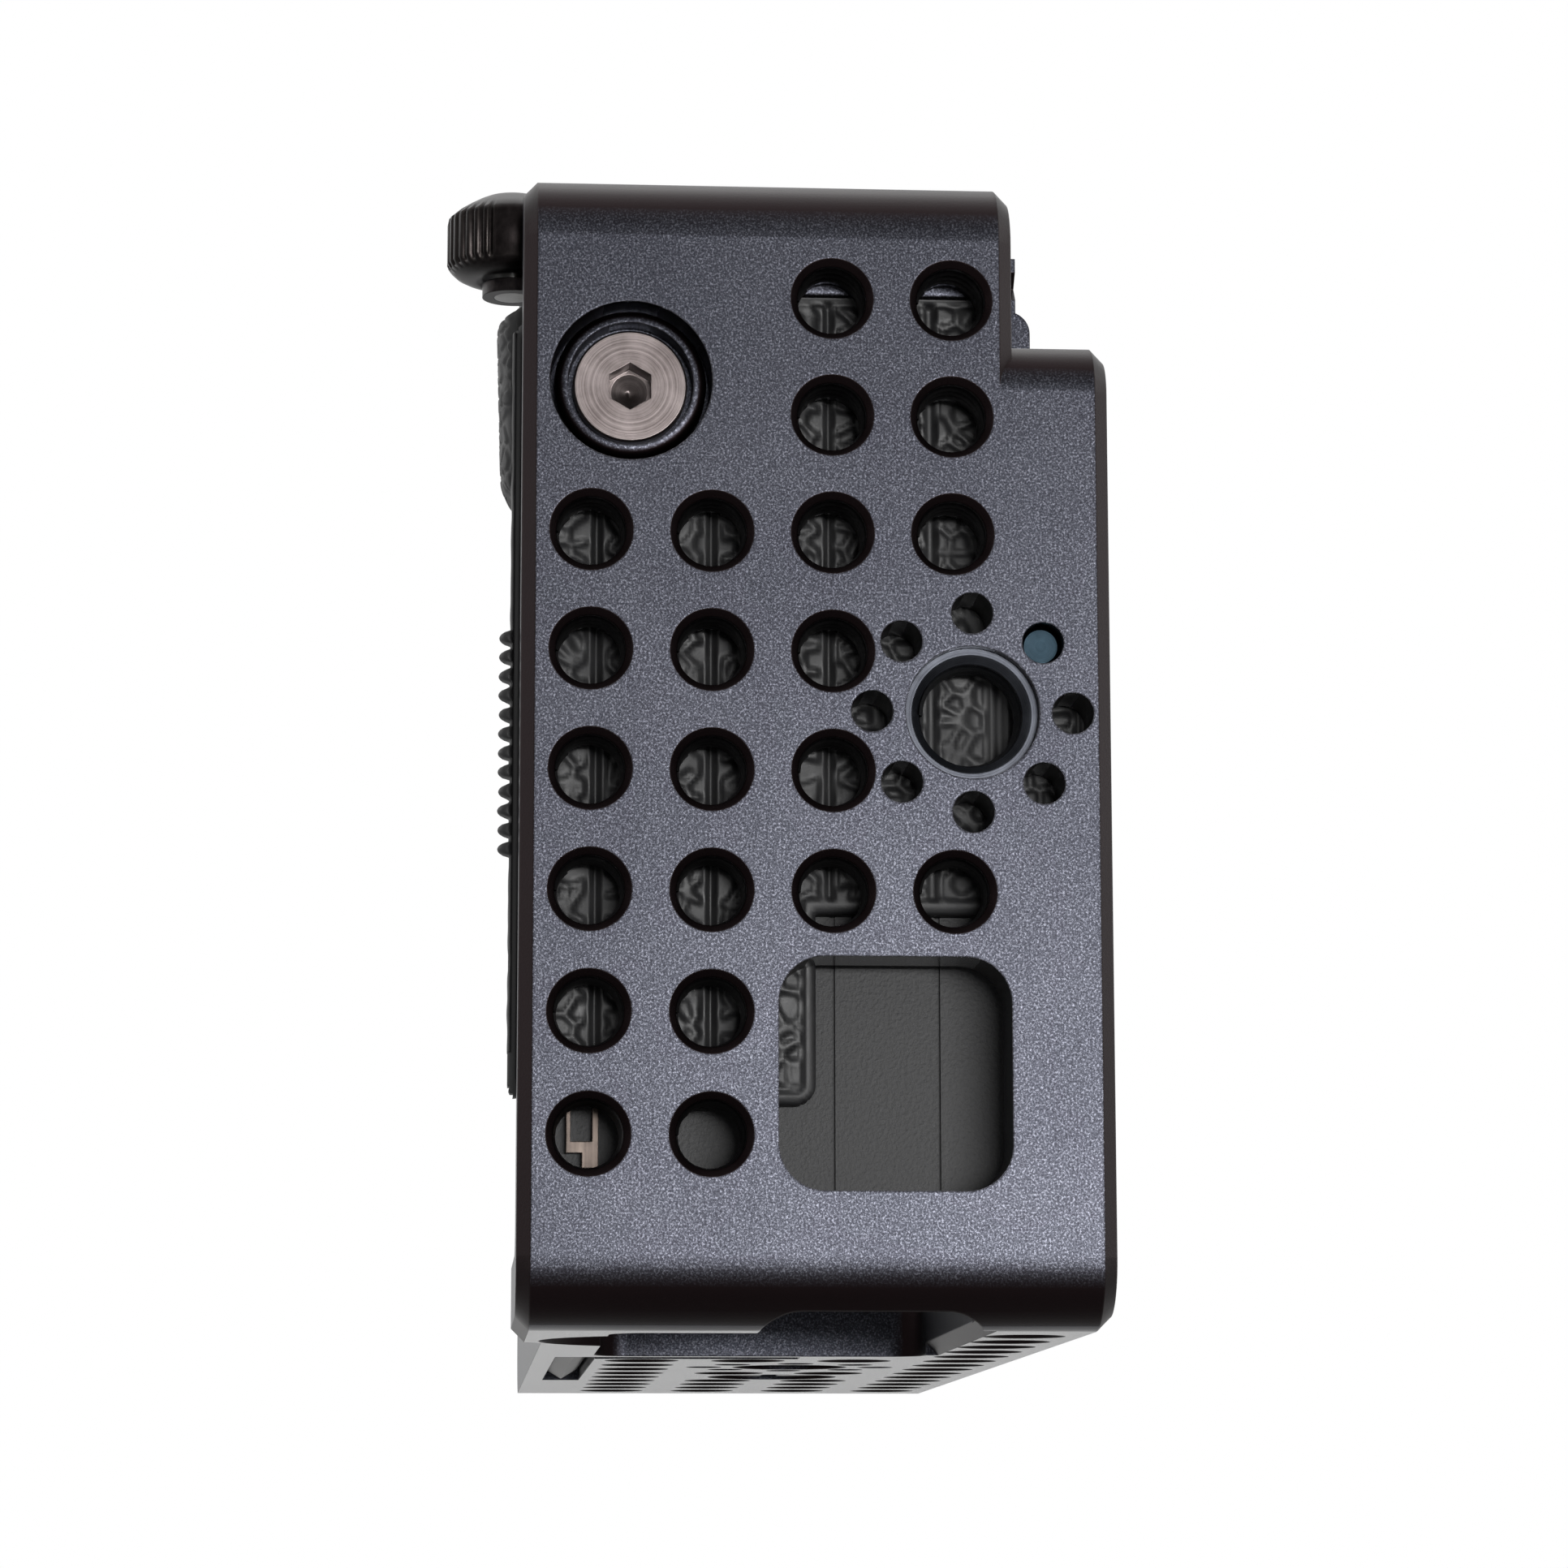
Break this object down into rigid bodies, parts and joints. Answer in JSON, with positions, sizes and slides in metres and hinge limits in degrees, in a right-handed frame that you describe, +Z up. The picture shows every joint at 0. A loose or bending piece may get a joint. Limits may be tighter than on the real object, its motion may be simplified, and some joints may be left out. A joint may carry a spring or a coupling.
{
  "type": "camera cage",
  "caption": "Camera cage: machined black metal loop with threaded holes, knurled brace wheel, lug clamp, hex key, rail, shoe and cable clamp.",
  "frame": {"origin": "centre of the 3/8 in tripod hole and its pin ring, on the cage's underside", "axes": "+X to the camera's left (its port side), -X the grip wall that the picture shows, +Y to the camera's back, +Z up"},
  "size_m": [0.166, 0.0527, 0.0982],
  "materials": {
    "anodised": "satin bead-blasted black anodise",
    "steel_screw": "black oxide",
    "stainless": "turned",
    "rubber": "matt textured",
    "plastic": "fine grain",
    "magnet": "nickel plated",
    "spring_steel": "rolled"
  },
  "bodies": {
    "cage": {"main_frame": "anodised", "side_plate": "anodised", "side_plate_screws": "steel_screw", "wall_thread_insert": "stainless", "base_thread_insert": "stainless", "dowel_pin": "stainless", "lug_clamp_cup": "anodised", "lug_clamp_washer": "spring_steel", "base_pads": "rubber", "locating_pins": "stainless", "hex_key": "steel_screw", "key_magnets": "magnet", "grip_liner": "rubber", "window_panel": "plastic", "panel_hook": "spring_steel", "thumb_rest": "rubber", "brace_channel": "anodised", "channel_screws": "steel_screw", "wheel_pin": "stainless", "top_rail": "anodised", "rail_screws": "steel_screw", "rail_stops": "stainless", "accessory_shoe": "anodised", "shoe_screws": "steel_screw", "shoe_leaf": "spring_steel", "clamp_bracket": "anodised", "bracket_screws": "steel_screw", "clamp_rods": "stainless"},
    "camera_screw": {"camera_screw": "stainless", "screw_clip": "spring_steel"},
    "lug_screw": {"lug_clamp_screw": "steel_screw"},
    "lug_claw": {"lug_claw": "anodised"},
    "brace_wheel": {"brace_wheel": "anodised"},
    "brace_slider": {"brace_slider": "anodised", "brace_tip": "rubber"},
    "clamp_jaw": {"clamp_jaw": "anodised", "jaw_pad": "rubber"},
    "clamp_knob": {"clamp_knob": "anodised"}
  },
  "joints": [
    {"name": "camera_screw_turn", "type": "hinge", "parent": "cage", "child": "camera_screw", "pos_m": [0.02381, 0, 0], "axis": [0, 0, 1], "continuous": true},
    {"name": "lug_screw_turn", "type": "hinge", "parent": "cage", "child": "lug_screw", "pos_m": [-0.0755, 0.01795, 0.0746], "axis": [1, 0, 0], "range_deg": [0, 721]},
    {"name": "lug_claw_slide", "type": "slide", "parent": "cage", "child": "lug_claw", "axis": [1, 0, 0], "range_m": [0, 0.0014]},
    {"name": "brace_wheel_turn", "type": "hinge", "parent": "cage", "child": "brace_wheel", "pos_m": [-0.0615, 0.0272, 0.0862], "axis": [0, 0, 1], "range_deg": [-25.6, 25.6]},
    {"name": "brace_slide", "type": "slide", "parent": "cage", "child": "brace_slider", "axis": [1, 0, 0], "range_m": [-0.0016, 0.0016]},
    {"name": "clamp_jaw_slide", "type": "slide", "parent": "cage", "child": "clamp_jaw", "axis": [0, 0, 1], "range_m": [-0.006, 0]},
    {"name": "clamp_knob_turn", "type": "hinge", "parent": "clamp_jaw", "child": "clamp_knob", "pos_m": [0.0845, 0.006, 0.042], "axis": [0, 0, 1], "range_deg": [-3086, 0]}
  ],
  "couplings": [
    {"joint": "lug_screw_turn", "follows": "lug_claw_slide", "rad_per_m": 8976},
    {"joint": "brace_wheel_turn", "follows": "brace_slide", "rad_per_m": 277.78},
    {"joint": "clamp_knob_turn", "follows": "clamp_jaw_slide", "rad_per_m": 8976}
  ]
}
